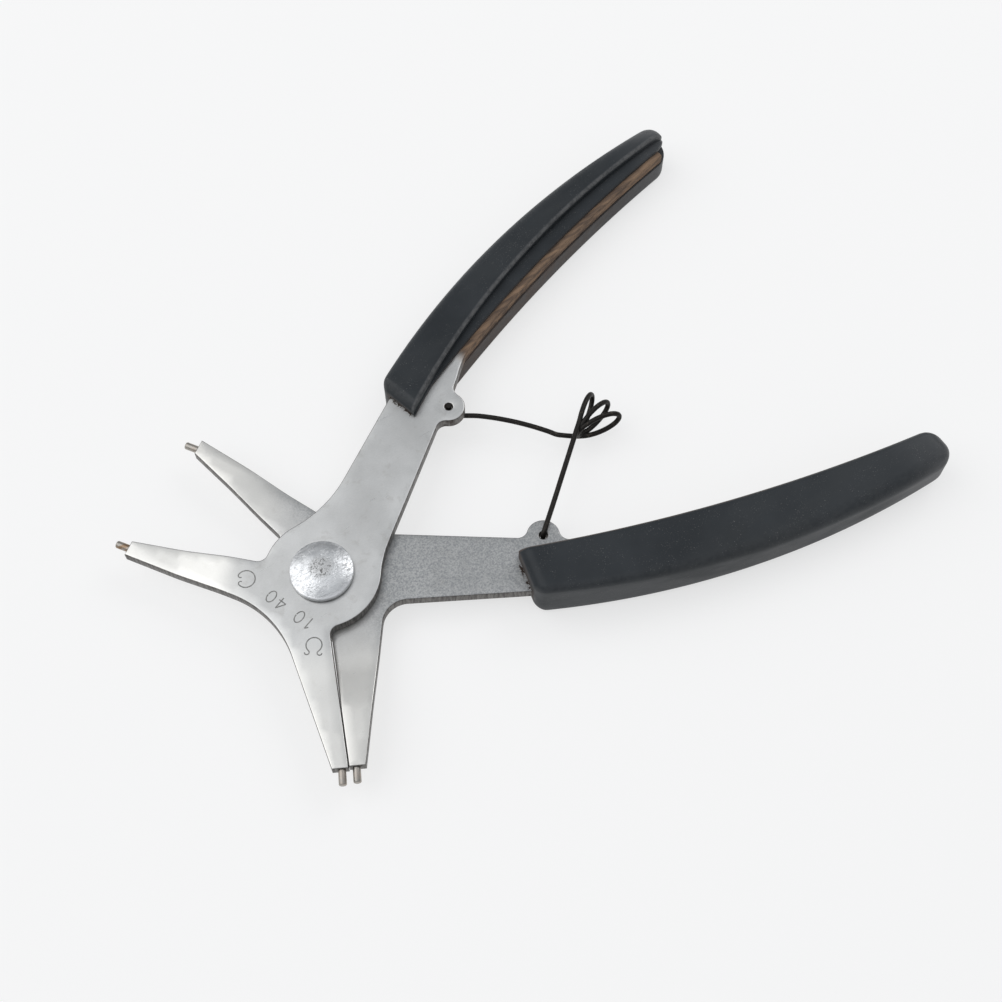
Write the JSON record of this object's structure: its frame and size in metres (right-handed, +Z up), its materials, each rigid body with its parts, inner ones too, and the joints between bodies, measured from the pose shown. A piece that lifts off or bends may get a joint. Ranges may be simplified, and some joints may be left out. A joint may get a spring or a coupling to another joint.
{
  "type": "circlip pliers",
  "caption": "Four-jaw circlip pliers: two riveted stamped plates with bent-in pin-tipped jaws, black moulded channel grips and a looped wire return spring.",
  "frame": {"origin": "on the rivet axis at the level the pliers rest on", "axes": "+X between the handles away from the jaws, +Z up along the rivet axis"},
  "size_m": [0.1473, 0.101, 0.011],
  "materials": {
    "plate_steel": "satin nickel-plated stamped steel",
    "rivet_zinc": "bright zinc with scratches",
    "grip_black": "satin moulded plastic",
    "spring_black": "black oxide wire",
    "pin_steel": "hardened steel, a little brown"
  },
  "bodies": {
    "lower_half": {"lower_plate": "plate_steel", "lower_grip": "grip_black", "pivot_rivet": "rivet_zinc", "internal_pin_lower": "pin_steel", "external_pin_lower": "pin_steel", "return_spring": "spring_black"},
    "upper_half": {"upper_plate": "plate_steel", "upper_grip": "grip_black", "internal_pin_upper": "pin_steel", "external_pin_upper": "pin_steel"}
  },
  "joints": [
    {"name": "squeeze", "type": "hinge", "parent": "lower_half", "child": "upper_half", "pos_m": [0, 0, 0.0055], "axis": [0, 0, -1], "range_deg": [0, 30], "stiffness_Nm_per_rad": 0.8, "springref_deg": -20.05, "deforming": ["return_spring"]}
  ]
}
